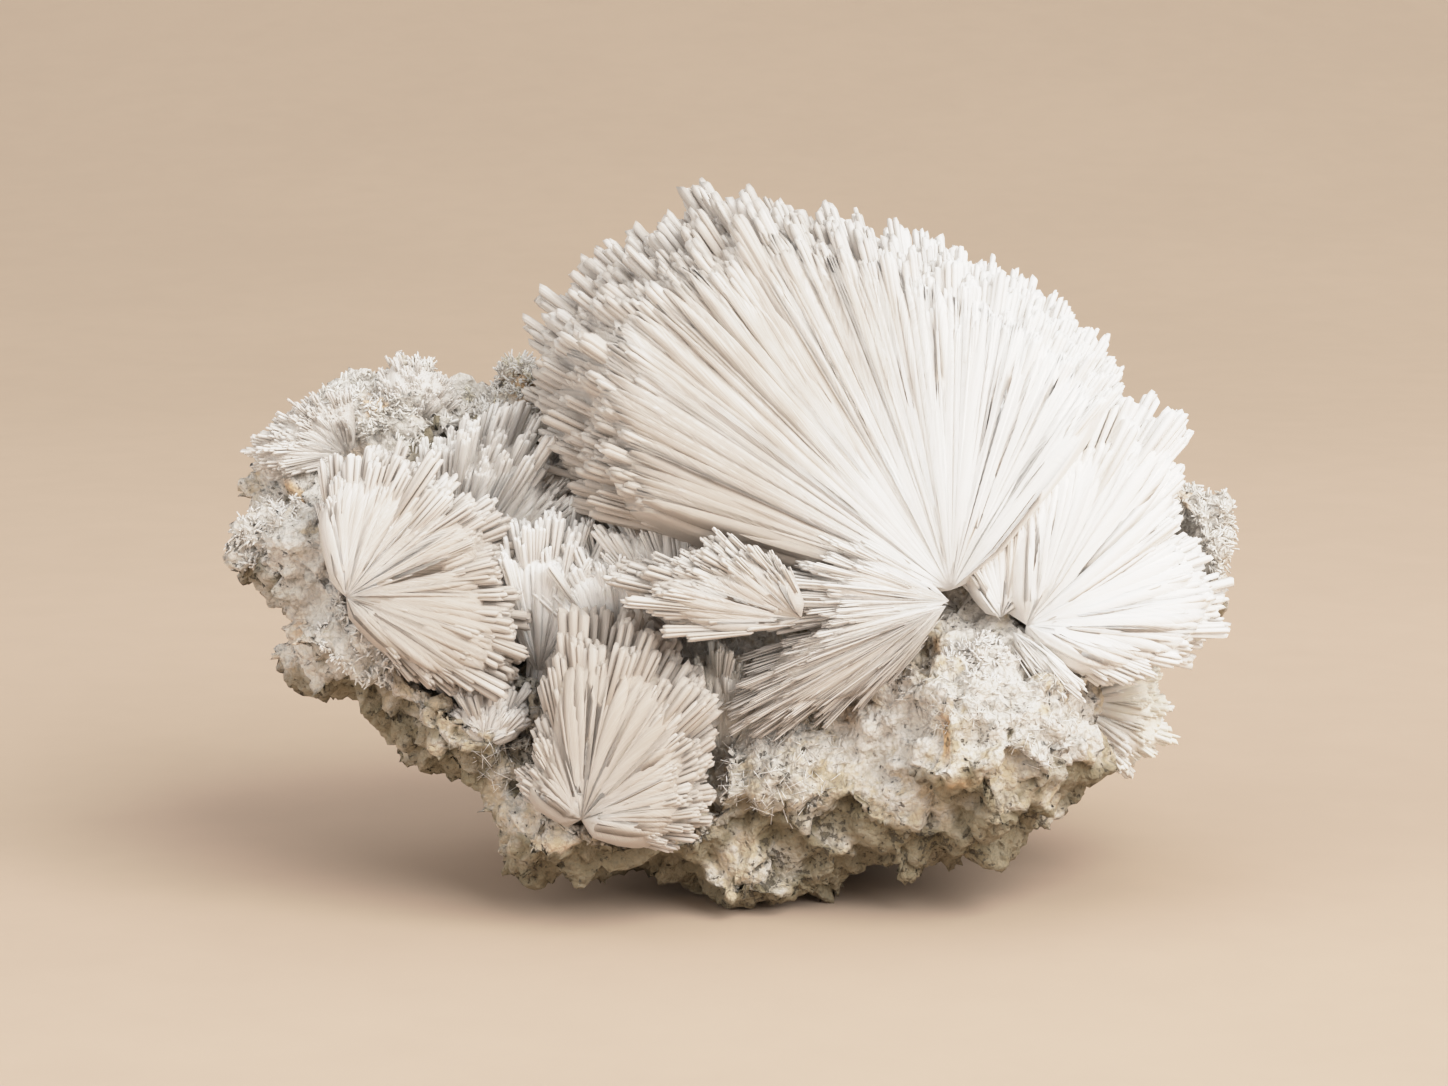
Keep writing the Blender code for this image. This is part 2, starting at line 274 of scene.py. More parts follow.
def crystal_finish():
    finish = Finish("blade_silk", 0.5)
    blade_map = finish.node("ShaderNodeUVMap", {"uv_map": "blade"})
    lines_scale = {"Vector": blade_map, "Scale": (1 / LINES_ACROSS, 1 / LINES_ALONG, 1.0)}
    lines_place = finish.node("ShaderNodeMapping", {"vector_type": "POINT"}, lines_scale)
    lines = finish.mottle(lines_place, 1.0, detail=2.0)
    place = finish.node("ShaderNodeTexCoord", output=3)
    clouds = finish.mottle(place, 6 * MM)
    # The tone attribute is each blade's own tone, and it also holds the painted shade and painted light set per fan
    tone = finish.attribute("tone")
    along = finish.attribute("along")
    stain = finish.attribute("stain")
    white = (tone + (clouds - 0.5) * 0.4 + (lines - 0.5) * 0.9).between(-0.15, 0.95)
    colour = finish.mix(white, CRYSTAL_CREAM_AND_SHADE, CRYSTAL_WHITE)
    colour = finish.mix(along.between(0.75, 1.05) * (tone * 0.25 + 0.15), colour, CRYSTAL_CLEAR)
    colour = finish.mix(stain * clouds.between(0.3, 0.6), colour, CRYSTAL_STAIN)
    finish.feed(finish.shader.inputs["Base Color"], colour)
    finish.feed(finish.shader.inputs["Roughness"], lines * 0.25 + 0.4)
    ridges = finish.node("ShaderNodeBump", None, {"Strength": 0.6, "Distance": 0.14 * MM, "Height": lines})
    finish.feed(finish.shader.inputs["Normal"], ridges)
    return finish.material


crystal = crystal_finish()
print("crystal finish:", len(crystal.node_tree.nodes), "nodes")

# %% [markdown]
# ## One blade, many times
# A blade is a long four-sided bar, broken off at a slant and a little smaller at its tip. It is
# modelled once, as a square that is extruded ring by ring. There are many thousand blades, so each
# fan is one mesh: numpy takes the blade's few points, and turns and stretches them to every blade's
# place in one step. Two forms are enough: the blade itself, and a needle with three sides for crusts
# and felts that are too fine to show a fourth.

# %% The forms of a blade
TIP_WIDTH = 0.7
TIP_SLANT = 0.8


def blade_form(rings, sides):
    """A bar of half width 1 along Z, as points and faces. Rings are heights, the last one its tip."""
    bm = bmesh.new()
    bmesh.ops.create_circle(bm, cap_ends=True, segments=sides, radius=math.sqrt(2),
                            matrix=Matrix.Rotation(math.radians(45), 4, "Z"))
    top, height = list(bm.faces), 0.0
    for ring in rings:
        grown = bmesh.ops.extrude_face_region(bm, geom=top)["geom"]
        corners = [part for part in grown if isinstance(part, bmesh.types.BMVert)]
        bmesh.ops.translate(bm, verts=corners, vec=UP * (ring - height))
        if height > 0:
            bmesh.ops.delete(bm, geom=top, context="FACES_ONLY")
        top, height = [part for part in grown if isinstance(part, bmesh.types.BMFace)], ring
    bmesh.ops.scale(bm, verts=corners, vec=(TIP_WIDTH, TIP_WIDTH, 1))
    bmesh.ops.recalc_face_normals(bm, faces=bm.faces)
    return as_arrays(bm)


def as_arrays(bm):
    """A bmesh as numpy arrays: its points, the corners of its faces, and each face's corner count."""
    bm.verts.index_update()
    points = np.array([vert.co for vert in bm.verts])
    corners = np.array([vert.index for face in bm.faces for vert in face.verts])
    counts = np.array([len(face.verts) for face in bm.faces])
    bm.free()
    return points, corners, counts


BLADE = blade_form((0.96, 1.0), 4)
NEEDLE = blade_form((1.0,), 3)
for form in (BLADE, NEEDLE):
    print("a form with", len(form[0]), "points and", len(form[2]), "faces")

# %% Many blades at once
HEART_SIZE = 0.4


def unit(vectors):
    return vectors / np.linalg.norm(vectors, axis=-1, keepdims=True)


def column(values):
    return np.asarray(values)[:, None, None]


def heart_share(along):
    """1 at the nucleus and 0 from the middle of a fan outwards."""
    return np.clip(1 - np.asarray(along) / HEART_SIZE, 0, 1)


def blade_heap(form, blades, chance):
    """Every blade's points. Blades is a dict of arrays with a row for each blade, in metres.

    root and tip are its ends, facing where its flat face looks, wide its half width, thin its thickness
    as a share of that, taper its width at the root as a share, near and far
    its place in the fan, heart how much whiter it is at the nucleus.
    """
    points, corners, counts = form
    count = len(blades["root"])
    x, y, rise = (points[:, i][None, :, None] for i in range(3))
    axis = blades["tip"] - blades["root"]
    side = unit(np.cross(axis, blades["facing"]))
    flat = unit(np.cross(axis, side))
    swell = column(blades["taper"]) * (1 - rise) + rise
    slant = chance.uniform(-TIP_SLANT, TIP_SLANT, (2, count, 1, 1)) * (rise > 0.999)
    wide = column(blades["wide"])
    placed = (blades["root"][:, None, :] + axis[:, None, :] * rise
              + side[:, None, :] * x * wide * swell
              + flat[:, None, :] * y * wide * swell * column(blades["thin"])
              + unit(axis)[:, None, :] * wide * (slant[0] * x + slant[1] * y))
    length = np.linalg.norm(axis, axis=1)[:, None]
    across = (x + y * 0.7)[..., 0] * wide[..., 0] / MM + chance.uniform(0, 90, (count, 1))
    down = rise[..., 0] * length / MM + chance.uniform(0, 90, (count, 1))
    near, far = blades["near"][:, None], blades["far"][:, None]
    along = near + (far - near) * rise[..., 0]
    tone = blades["tone"][:, None] + blades["heart"][:, None] * heart_share(along)
    first = (np.arange(count) * len(points))[:, None]
    at_end = np.minimum.reduceat(points[corners, 2], np.cumsum(counts) - counts) > 0.999
    return dict(points=placed.reshape(-1, 3), corners=(corners[None, :] + first).ravel(),
                counts=np.tile(counts, count), map=np.stack([across, down], axis=-1).reshape(-1, 2),
                along=along.ravel(), sharp=np.tile(at_end, count), tone=tone.ravel(),
                stain=np.repeat(blades["stain"], len(points)))


def crystal_piece(name, heaps):
    """Heaps of blades as one object with the crystal finish."""
    joined = {key: np.concatenate([heap[key] for heap in heaps]) for key in heaps[0] if key != "corners"}
    starts = np.cumsum([0] + [len(heap["points"]) for heap in heaps])
    corners = np.concatenate([heap["corners"] + start for heap, start in zip(heaps, starts)]).astype(np.int32)
    counts = joined["counts"].astype(np.int32)
    mesh = bpy.data.meshes.new(name)
    mesh.vertices.add(len(joined["points"]))
    mesh.vertices.foreach_set("co", joined["points"].astype(np.float32).ravel())
    mesh.loops.add(len(corners))
    mesh.loops.foreach_set("vertex_index", corners)
    mesh.polygons.add(len(counts))
    mesh.polygons.foreach_set("loop_start", np.cumsum(counts, dtype=np.int32) - counts)
    mesh.update(calc_edges=True)
    mesh.uv_layers.new(name="blade").data.foreach_set("uv", joined["map"][corners].astype(np.float32).ravel())
    for key in ("along", "tone", "stain"):
        layer = mesh.attributes.new(key, "FLOAT", "POINT")
        layer.data.foreach_set("value", joined[key].astype(np.float32))
    mesh.attributes.new("sharp_face", "BOOLEAN", "FACE").data.foreach_set("value", joined["sharp"])
    mesh.materials.append(crystal)
    obj = bpy.data.objects.new(name, mesh)
    bpy.context.scene.collection.objects.link(obj)
    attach(obj, "root")
    print(f"{name}: {(counts - 2).sum()} triangles")
    return obj

# %% [markdown]
# ## The fans
# A fan is measured in its own plane, which leans back and is turned a little about the upright. The
# outline is how far the blades reach at each angle, and the depth is how far they spread towards
# the viewer and away. Near the viewer the blades are shorter, which gives the stepped face. Blades
# grow in bundles a millimetre or two wide, so a bundle is placed first, on an uneven grid, and then
# its blades are laid in it, with ends that nearly agree. The tones run from the first angle to the
# last, from 0 for cream to 1 for white. They also hold painted shade and painted light: a fan is
# greyer where it turns from the lamp or catches much light, and whiter where it lies in shade.

# %% The fans' sizes, in millimetres and degrees
FANS = {
    # The main fan's tones fall from right to left as painted shade on the side that turns from the lamp
    "main_fan": dict(
        nucleus=(24.3, -23.0, 38.0), lean=20, turn=0, depth=(-9, 48), shares=(0.82, 1.0, 0.95),
        reach=[(50, 34), (65, 39), (78, 41), (90, 44.5), (104, 50), (109, 52.5), (113, 55), (117, 59.5),
               (126, 60), (137, 62), (146, 62.5), (151, 59), (157, 53), (167, 47)], bundles=(72, 15),
        ragged=0.1, fused=0.92, spread=0.5, fine=7, heart=0.8, tones_and_shading=(1.0, 1.0, 0.7, 0.35, 0.25, 0.2, -0.2)),
    "right_fan": dict(
        nucleus=(33.1, -21.0, 33.6), lean=12, turn=25, depth=(-10, 34), shares=(0.88, 1.0, 0.9),
        reach=[(-35, 13), (-20, 20), (-8, 26), (4, 30), (16, 27), (27, 26), (38, 31), (45, 34),
               (58, 31), (73, 23), (92, 14)], bundles=(46, 9), ragged=0.18, heart=0.3,
        tones_and_shading=(0.6, 1.0, 1.0)),
    "left_fan": dict(
        nucleus=(-44.5, -23.0, 37.2), lean=14, turn=8, depth=(-8, 38), shares=(0.88, 1.0, 0.9),
        reach=[(-50, 12), (-41, 19), (-30, 24), (-18, 24), (-2, 21), (12, 20), (22, 22), (38, 20),
               (65, 19), (90, 18), (102, 14)], bundles=(48, 9), ragged=0.26, heart=0.2,
        tones_and_shading=(-0.1, 0.0, 0.3, 0.35)),
    "left_rear_fan": dict(
        nucleus=(-35.4, -5.0, 31.9), lean=8, turn=0, depth=(-26, 38), shares=(0.95, 1.0, 0.9),
        reach=[(30, 23), (40, 25), (50, 27), (57, 29), (66, 28), (80, 25), (100, 22)], bundles=(34, 8),
        ragged=0.3, tones_and_shading=(0.45, 0.55)),
    "lower_fan": dict(
        nucleus=(-17.6, -31.0, 13.1), lean=20, turn=0, depth=(-10, 32), shares=(0.86, 1.0, 0.92),
        reach=[(-16, 11), (0, 15), (24, 17), (36, 19), (46, 24), (60, 24), (84, 26), (96, 24),
               (108, 14), (128, 10), (150, 9)], bundles=(46, 9), ragged=0.26, heart=0.2,
        tones_and_shading=(0.0, -0.05, -0.1)),
    "middle_fan": dict(
        nucleus=(7.2, -29.0, 35.8), lean=0, turn=-6, depth=(-9, 20), shares=(0.86, 1.0, 0.95),
        reach=[(112, 8), (124, 9), (134, 13), (150, 14), (161, 19), (166, 23), (176, 20), (186, 15)],
        bundles=(30, 7), ragged=0.28, tones_and_shading=(0.3, 0.2)),
    "inner_fan": dict(
        nucleus=(-5.9, -18.0, 31.5), lean=4, turn=0, depth=(-10, 20), shares=(0.86, 1.0, 0.9),
        reach=[(70, 16), (83, 19), (90, 21), (98, 23), (108, 18), (117, 20), (130, 18), (145, 15)],
        bundles=(26, 7), ragged=0.36, tones_and_shading=(0.5, 0.45)),
    "sweep_fan": dict(
        nucleus=(23.6, -27.0, 36.9), lean=-6, turn=0, depth=(-6, 16), shares=(0.8, 1.0, 0.95),
        reach=[(193, 19), (202, 27), (211, 32), (217, 27), (224, 21), (232, 17)], bundles=(62, 5),
        ragged=0.5, fused=0.8, heart=0.4, tones_and_shading=(0.25, 0.05)),
    # The rear fan's high tones are partly painted light that lifts the shade it stands in
    "rear_fan": dict(
        nucleus=(39.5, 0.0, 20.7), lean=0, turn=0, depth=(-18, 22), shares=(0.85, 1.0, 0.9),
        reach=[(-65, 10), (-46, 12), (-24, 14), (-2, 13), (24, 12), (54, 9)], bundles=(30, 7),
        ragged=0.16, tones_and_shading=(1.0, 0.85), stain=0.3),
    # The valley fan is made almost white as painted light in its shaded valley
    "valley_fan": dict(
        nucleus=(-23.8, -15.0, 23.5), lean=10, turn=0, depth=(-8, 24), shares=(0.8, 1.0, 0.9),
        reach=[(38, 12), (48, 16), (58, 20), (68, 23), (78, 19), (88, 17)], bundles=(22, 6), ragged=0.36,
        tones_and_shading=(0.9, 0.9)),
    "small_fan": dict(
        nucleus=(-28.6, -22.0, 20.4), lean=10, turn=0, depth=(-12, 40), shares=(0.8, 1.0, 0.9),
        reach=[(20, 6), (52, 7), (83, 8), (115, 7), (150, 6)], bundles=(16, 5), ragged=0.4, tones_and_shading=(0.5, 0.4)),
}
print("fans:", len(FANS))

# %% Places in a fan
MIDDLE_SHARE = 0.35


def fan_turn(fan):
    return Matrix.Rotation(math.radians(fan["turn"]), 3, "Z") @ Matrix.Rotation(math.radians(-fan["lean"]), 3, "X")


def headings(fan, angle, tilt):
    """Unit vectors at angles in the fan's plane and tilts out of it, both in degrees."""
    angle, tilt = np.radians(angle), np.radians(tilt)
    flat = np.stack([np.cos(tilt) * np.cos(angle), np.sin(tilt), np.cos(tilt) * np.sin(angle)], axis=-1)
    return flat @ np.array(fan_turn(fan)).T


def place_in(fan, across, deep):
    """The angle, the tilt and the full reach in metres at a place given by two shares from 0 to 1."""
    first, last = fan["reach"][0][0], fan["reach"][-1][0]
    low, high = fan["depth"]
    angle = first + (last - first) * across
    reach = np.interp(angle, *zip(*fan["reach"])) * MM * np.interp(deep, (0, MIDDLE_SHARE, 1), fan["shares"])
    return angle, low + (high - low) * deep, reach


# A fan's tone across it, which also holds its painted shade and painted light
def tone_and_shading_at(fan, across):
    return np.interp(across, np.linspace(0, 1, len(fan["tones_and_shading"])), fan["tones_and_shading"])

# %% [markdown]
# ## The fused middle of a fan
# The blades of a fan have grown together nearly to their ends, so its face is a skin of soft ribs
# that run out from the nucleus, and only the ends stand free. Thousands of blades that meet at one
# point would also be slow to render. So the inside of a fan is one closed mesh: a grid for its outer
# face, whose border is extruded inwards ring by ring to the nucleus. The ribs are a pattern of the
# angle alone, so they widen on the way out as the real ones do, and a finer one lies over them.

# %% The fused middle
FUSED_COLUMNS = 4
FUSED_RINGS = np.linspace(0.94, 0.06, 10)
SWELL = 0.95
RIB_WIDTH, FIBRE_WIDTH = 2.4, 0.9
RIB_HEIGHT, FIBRE_HEIGHT = 0.011, 0.006
END_SIZE, END_HEIGHT = 1.5, 0.035


def fused_share(fan):
    return fan.get("fused", 1 - 0.7 * fan["ragged"])


def fan_places(fan, points):
    """The share across the fan, the place round it in millimetres at the rim, and the distance."""
    flat = points @ np.array(fan_turn(fan))
    first, last = fan["reach"][0][0], fan["reach"][-1][0]
    turned = (np.degrees(np.arctan2(flat[:, 2], flat[:, 0])) - (first + last) / 2 + 180) % 360 - 180
    length = np.linalg.norm(points, axis=1)
    tilted = np.arcsin(flat[:, 1] / np.maximum(length, 0.01 * MM)) * (length > 0.01 * MM)
    return np.clip(0.5 + turned / (last - first), 0, 1), (np.radians(turned) + tilted) * farthest(fan) / MM, length


def bundle_angle(fan):
    return math.radians(fan["reach"][-1][0] - fan["reach"][0][0]) / fan["bundles"][0]


def farthest(fan):
    return max(reach for angle, reach in fan["reach"]) * MM


def fused_grid(fan, chance):
    """The outer face of a fan's middle: a grid whose points stand in and out like blunt blade ends."""
    columns, rows = fan.get("fine", FUSED_COLUMNS) * fan["bundles"][0], fan["bundles"][1]
    bm = bmesh.new()
    bmesh.ops.create_grid(bm, x_segments=columns, y_segments=rows, size=0.5)
    shares = np.array([vert.co for vert in bm.verts])[:, :2] + 0.5
    shares += chance.uniform(-0.5, 0.5, shares.shape) / (columns, rows) * (0.6, 0.5)
    angle, tilt, reach = place_in(fan, shares[:, 0], np.clip(shares[:, 1], 0, 1))
    tilt += (fan["depth"][1] - fan["depth"][0]) * np.minimum(shares[:, 1], 0)
    size = farthest(fan) / MM / END_SIZE
    for vert, a, b, length in zip(bm.verts, np.radians(angle) * size, np.radians(tilt) * size, reach):
        vert.co.x = length * fused_share(fan) * (1 + noise.noise(Vector((a, b, fan["nucleus"][0]))) * END_HEIGHT)
    out = headings(fan, angle, tilt)
    for vert, heading in zip(bm.verts, out):
        vert.co = Vector(heading) * vert.co.x
    return bm


def rib_height(place, length):
    """The ribs and the fibres on them, as a share of the reach: round tops with narrow grooves."""
    ribs = abs(noise.noise(Vector((place / RIB_WIDTH, length / 20, 1)))) - 0.2
    fibres = abs(noise.noise(Vector((place / FIBRE_WIDTH, length / 15, 9)))) - 0.2
    return ribs * RIB_HEIGHT + fibres * FIBRE_HEIGHT


def fused_heap(fan, chance):
    """The inside of a fan: the grid, and its sides down to the nucleus."""
    bm = fused_grid(fan, chance)
    border = [edge for edge in bm.edges if edge.is_boundary]
    share, rings = 1.0, []
    for next_share in FUSED_RINGS:
        grown = bmesh.ops.extrude_edge_only(bm, edges=border)["geom"]
        border = [part for part in grown if isinstance(part, bmesh.types.BMEdge)]
        ring = [part for part in grown if isinstance(part, bmesh.types.BMVert)]
        bmesh.ops.scale(bm, verts=ring, vec=(next_share / share,) * 3)
        rings.append((ring, next_share))
        share = next_share
    last = bmesh.ops.extrude_edge_only(bm, edges=border)["geom"]
    bmesh.ops.pointmerge(bm, verts=[part for part in last if isinstance(part, bmesh.types.BMVert)], merge_co=Vector())
    bmesh.ops.recalc_face_normals(bm, faces=bm.faces)
    bm.normal_update()
    for ring, share in rings:
        across, places, lengths = fan_places(fan, np.array([vert.co for vert in ring]))
        for vert, place, length in zip(ring, places, lengths / MM):
            swell = min(1, share * 4) * (1 - share ** 6) * SWELL * bundle_angle(fan) + rib_height(place, length) * share
            vert.co += vert.normal * swell * farthest(fan)
    points, corners, counts = as_arrays(bm)
    across, places, lengths = fan_places(fan, points)
    along = lengths / farthest(fan)
    return dict(points=points + np.array(fan["nucleus"]) * MM, corners=corners, counts=counts,
                map=np.stack([places, lengths / MM], axis=-1), along=along, sharp=np.zeros(len(counts), bool),
                tone=tone_and_shading_at(fan, across) + fan.get("heart", 0.0) * heart_share(along),
                stain=np.full(len(points), fan.get("stain", 0.0)))

# %% Bundles of a fan, and blades of a bundle
LONG_BLADES, SHORT_BLADES = 6, 5
ROWS_CROWD = 1.35
BUNDLE_OVERLAP = 1.65
BLADE_SPREAD = 0.7
BLADE_SHARE = 0.33
BLADE_THIN = (0.55, 1.0)
FACING_SPREAD = 0.6
RIM_WAVE = 0.2
LONG_ROOT, SHORT_ROOT = 0.5, 0.85
NUCLEUS_SPREAD = 0.6 * MM
SCATTER_LENGTHS = (0.4, 0.85)
SCATTER_ROOT = 0.2
SCATTER_RISE = 0.9
SCATTER_SHARE = 0.7


def lay_bundles(fan, chance):
    columns, rows = fan["bundles"]
    column_at, row_at = (grid.ravel() for grid in np.meshgrid(np.arange(columns), np.arange(rows)))
    shift = row_at % 2 * 0.5 - 0.25
    across = (column_at + 0.5 + shift + chance.uniform(-0.35, 0.35, column_at.size)) / columns
    across = np.clip(across, 0.01, 0.99)
    deep = ((row_at + 0.5 + chance.uniform(-0.5, 0.5, row_at.size)) / rows) ** ROWS_CROWD
    angle, tilt, reach = place_in(fan, across, deep)
    full = np.interp(angle, *zip(*fan["reach"])) * MM
    front = np.clip(1 - deep / 0.3, 0, 1)
    length = reach * (1 - fan["ragged"] * chance.random(angle.size) ** 1.5)
    length *= 1 + front * chance.uniform(-0.6, 0.3, angle.size) * (0.05 + fan["ragged"])
    wave = chance.uniform(-1, 1, columns // 3)
    length *= 1 + np.interp(across, np.linspace(0, 1, len(wave)), wave) * RIM_WAVE * fan["ragged"]
    length = np.minimum(length, full)
    out = headings(fan, angle, tilt)
    sideways = headings(fan, angle + 90, np.zeros(angle.size))
    half = BUNDLE_OVERLAP / 2 * length * bundle_angle(fan) * chance.uniform(0.7, 1.35, angle.size)
    edge = (row_at < 3) | (row_at == rows - 1) | (column_at < 1) | (column_at >= columns - 1)
    row_angle = math.radians(fan["depth"][1] - fan["depth"][0]) / rows
    deeper = np.where(row_at == 0, 0.8, 0.8 * max(1.0, row_angle / bundle_angle(fan)))[:, None]
    near = np.where(edge, LONG_ROOT, np.clip(reach * fused_share(fan) * SHORT_ROOT / length, 0.3, 0.9))
    return dict(out=out, length=length, half=half, sideways=sideways, backward=np.cross(sideways, out) * deeper,
                near=near, tone=tone_and_shading_at(fan, across) + chance.uniform(-0.1, 0.1, angle.size), edge=edge)


def lay_blades(fan, bundles, blades_each, chance):
    """The blades of some bundles: one in the middle of each and the others in a ring round it."""
    out, length = bundles["out"][:, None, :], bundles["length"][:, None]
    many = (len(length), blades_each)
    ring = chance.uniform(0, 2 * math.pi, (many[0], 1)) + np.arange(blades_each) * 2 * math.pi / (blades_each - 1)
    spread = chance.uniform(0.75, 1.25, many) * (np.arange(blades_each) < blades_each - 1)
    spread *= fan.get("spread", BLADE_SPREAD)
    offset = (bundles["sideways"][:, None, :] * (np.cos(ring) * spread * bundles["half"][:, None])[..., None]
              + bundles["backward"][:, None, :] * (np.sin(ring) * spread * bundles["half"][:, None])[..., None])
    reach = length * (1 - 0.03 * chance.random(many)) - spread * 1.2 * MM * chance.random(many)
    nucleus = np.array(fan["nucleus"]) * MM + np.clip(chance.normal(size=(many[0], 1, 3)), -1.6, 1.6) * NUCLEUS_SPREAD
    tip = nucleus + out * reach[..., None] + offset
    near = bundles["near"][:, None] * chance.uniform(0.9, 1.05, many)
    root = nucleus + (tip - nucleus) * near[..., None]
    wide = bundles["half"][:, None] * BLADE_SHARE * chance.uniform(0.75, 1.25, many)
    tone = bundles["tone"][:, None] + chance.uniform(-0.08, 0.08, many)
    facing = unit(bundles["backward"])[:, None, :] + chance.normal(size=(*many, 3)) * FACING_SPREAD
    rows = {"root": root, "tip": tip, "facing": facing}
    rows = {key: value.reshape(-1, 3) for key, value in rows.items()}
    return rows | dict(wide=wide.ravel(), thin=chance.uniform(*BLADE_THIN, reach.size), taper=near.ravel() + 0.02,
                       near=near.ravel(), far=np.ones(reach.size), tone=tone.ravel(),
                       heart=np.full(reach.size, fan.get("heart", 0.0)),
                       stain=np.full(reach.size, fan.get("stain", 0.0)))


def scatter_bundles(fan, chance):
    """Shorter bundles that lie over the fan's front, a few degrees nearer to the viewer."""
    count = int(SCATTER_SHARE * fan["bundles"][0])
    across = chance.uniform(0.02, 0.98, count)
    angle, tilt, reach = place_in(fan, across, np.zeros(count))
    out = headings(fan, angle + chance.normal(size=count) * 1.5, tilt - chance.uniform(0, SCATTER_RISE, count))
    length = reach * chance.uniform(*SCATTER_LENGTHS, count)
    sideways = headings(fan, angle + 90, np.zeros(count))
    half = BUNDLE_OVERLAP / 2 * reach * 0.7 * bundle_angle(fan) * chance.uniform(0.5, 0.9, count)
    return dict(out=out, length=length, half=half, sideways=sideways, backward=np.cross(sideways, out) * 0.8,
                near=np.full(count, SCATTER_ROOT), tone=tone_and_shading_at(fan, across) + chance.uniform(-0.05, 0.2, count))


def grow_fan(name, fan, chance):
    bundles = lay_bundles(fan, chance)
    seen = {key: value[bundles["edge"]] for key, value in bundles.items()}
    inside = {key: value[~bundles["edge"]] for key, value in bundles.items()}
    scattered = scatter_bundles(fan, chance)
    seen = {key: np.concatenate([seen[key], value]) for key, value in scattered.items()}
    long_ones = lay_blades(fan, seen, LONG_BLADES, chance)
    short_ones = lay_blades(fan, inside, SHORT_BLADES, chance)
    return crystal_piece(name + "_blades", [fused_heap(fan, chance), blade_heap(BLADE, long_ones, chance),
                                             blade_heap(BLADE, short_ones, chance)])


for number, (fan_name, fan) in enumerate(FANS.items()):
    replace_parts(grow_fan(fan_name, fan, np.random.default_rng(100 + number)), fan_name)

# %% [markdown]
# ## Short sprays between the fans
# Where two fans meet, short blades from the same nuclei fill the corner. They are too small to be
# solids, and they grow on the fans that are there, so they are only made here, in the same way.

# %% The sprays
SPRAYS = {
    "nucleus_spray": dict(
        nucleus=(24.0, -25.5, 37.2), lean=4, turn=-4, depth=(-12, 26), shares=(0.75, 1.0, 0.9),
        reach=[(150, 17), (162, 21), (174, 24), (186, 22), (198, 18)], bundles=(30, 6),
        ragged=0.4, tones_and_shading=(0.6, 0.5)),
    "corner_spray": dict(
        nucleus=(30.2, -20.5, 34.4), lean=12, turn=10, depth=(-12, 20), shares=(0.8, 1.0, 0.9),
        reach=[(52, 12), (70, 15), (88, 17), (106, 14), (128, 8)], bundles=(22, 6),
        ragged=0.3, tones_and_shading=(0.95, 0.95)),
    "low_spray": dict(
        nucleus=(31.5, -22.0, 33.0), lean=0, turn=12, depth=(-14, 20), shares=(0.8, 1.0, 0.9),
        reach=[(-62, 9), (-48, 11), (-36, 13)], bundles=(14, 5), ragged=0.4, tones_and_shading=(0.6, 0.7)),
    # The gap and valley sprays are made almost white as painted light in their shaded valley
    "gap_spray": dict(
        nucleus=(-13.5, -17.0, 28.0), lean=6, turn=0, depth=(-20, 24), shares=(0.85, 1.0, 0.9),
        reach=[(55, 13), (75, 16), (95, 18), (115, 18), (135, 15)], bundles=(22, 6),
        ragged=0.36, tones_and_shading=(0.9, 0.8)),
    "valley_spray": dict(
        nucleus=(-23.0, -15.5, 27.0), lean=8, turn=0, depth=(-24, 24), shares=(0.9, 1.0, 0.9),
        reach=[(50, 15), (65, 19), (80, 21), (100, 20), (115, 17)], bundles=(24, 6), ragged=0.36,
        tones_and_shading=(0.9, 0.9)),
    "step_spray": dict(
        nucleus=(-2.0, -20.2, 19.0), lean=4, turn=0, depth=(-16, 24), shares=(0.85, 1.0, 0.9),
        reach=[(50, 9), (66, 12), (84, 14), (100, 13), (116, 9)], bundles=(18, 5), ragged=0.36,
        tones_and_shading=(0.3, 0.35), stain=0.2),
    "arm_spray": dict(
        nucleus=(-45.9, -2.5, 50.8), lean=4, turn=0, depth=(-38, 40), shares=(0.85, 1.0, 0.9),
        reach=[(88, 7.4), (107, 7.8), (122, 8.6), (142, 9.4), (161, 10.8), (172, 12.6), (184, 13), (196, 11)],
        bundles=(34, 8), ragged=0.24, tones_and_shading=(0.3, 0.4, 0.35)),
    "crest_spray": dict(
        nucleus=(-38.3, 3.5, 54.0), lean=2, turn=0, depth=(-42, 36), shares=(0.8, 1.0, 0.9),
        reach=[(35, 6.4), (60, 6.8), (90, 7.4), (112, 8.2), (128, 7.4)], bundles=(24, 7), ragged=0.16,
        tones_and_shading=(0.4, 0.5)),
}
for number, (spray_name, spray) in enumerate(SPRAYS.items()):
    grow_fan(spray_name, spray, np.random.default_rng(300 + number))

# %% [markdown]
# ## The matrix rock
# The rock's solid has its lumps and ledges but not its grain. A copy of it is remeshed finely and
# each point is moved along its normal: uneven chunks with creases here and there, crumbs, and small
# pits. What was made at a point is also kept there as an attribute, hollow_shade, so the finish can
# darken just those creases and pits with painted shade. Stains that belong to one place are
# attributes as well, and so is a darker, more olive colour: painted shade where the rock faces
# down, and darker rock near the ground and in patches.

# %% A fine copy of the rock
ROCK_VOXEL = 0.68 * MM


def merged_copy(node):
    bm = bmesh.new()
    bm.from_mesh(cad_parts[node].data)
    bmesh.ops.remove_doubles(bm, verts=bm.verts, dist=0.001 * MM)
    mesh = bpy.data.meshes.new(node + "_grain")
    bm.to_mesh(mesh)
    bm.free()
    return mesh


def remeshed(mesh, voxel):
    rough = bpy.data.objects.new("rough", mesh)
    bpy.context.scene.collection.objects.link(rough)
    remesh = rough.modifiers.new("fine", "REMESH")
    remesh.mode = "VOXEL"
    remesh.voxel_size = voxel
    fine = bpy.data.meshes.new_from_object(rough.evaluated_get(bpy.context.evaluated_depsgraph_get()))
    bpy.data.objects.remove(rough)
    return fine


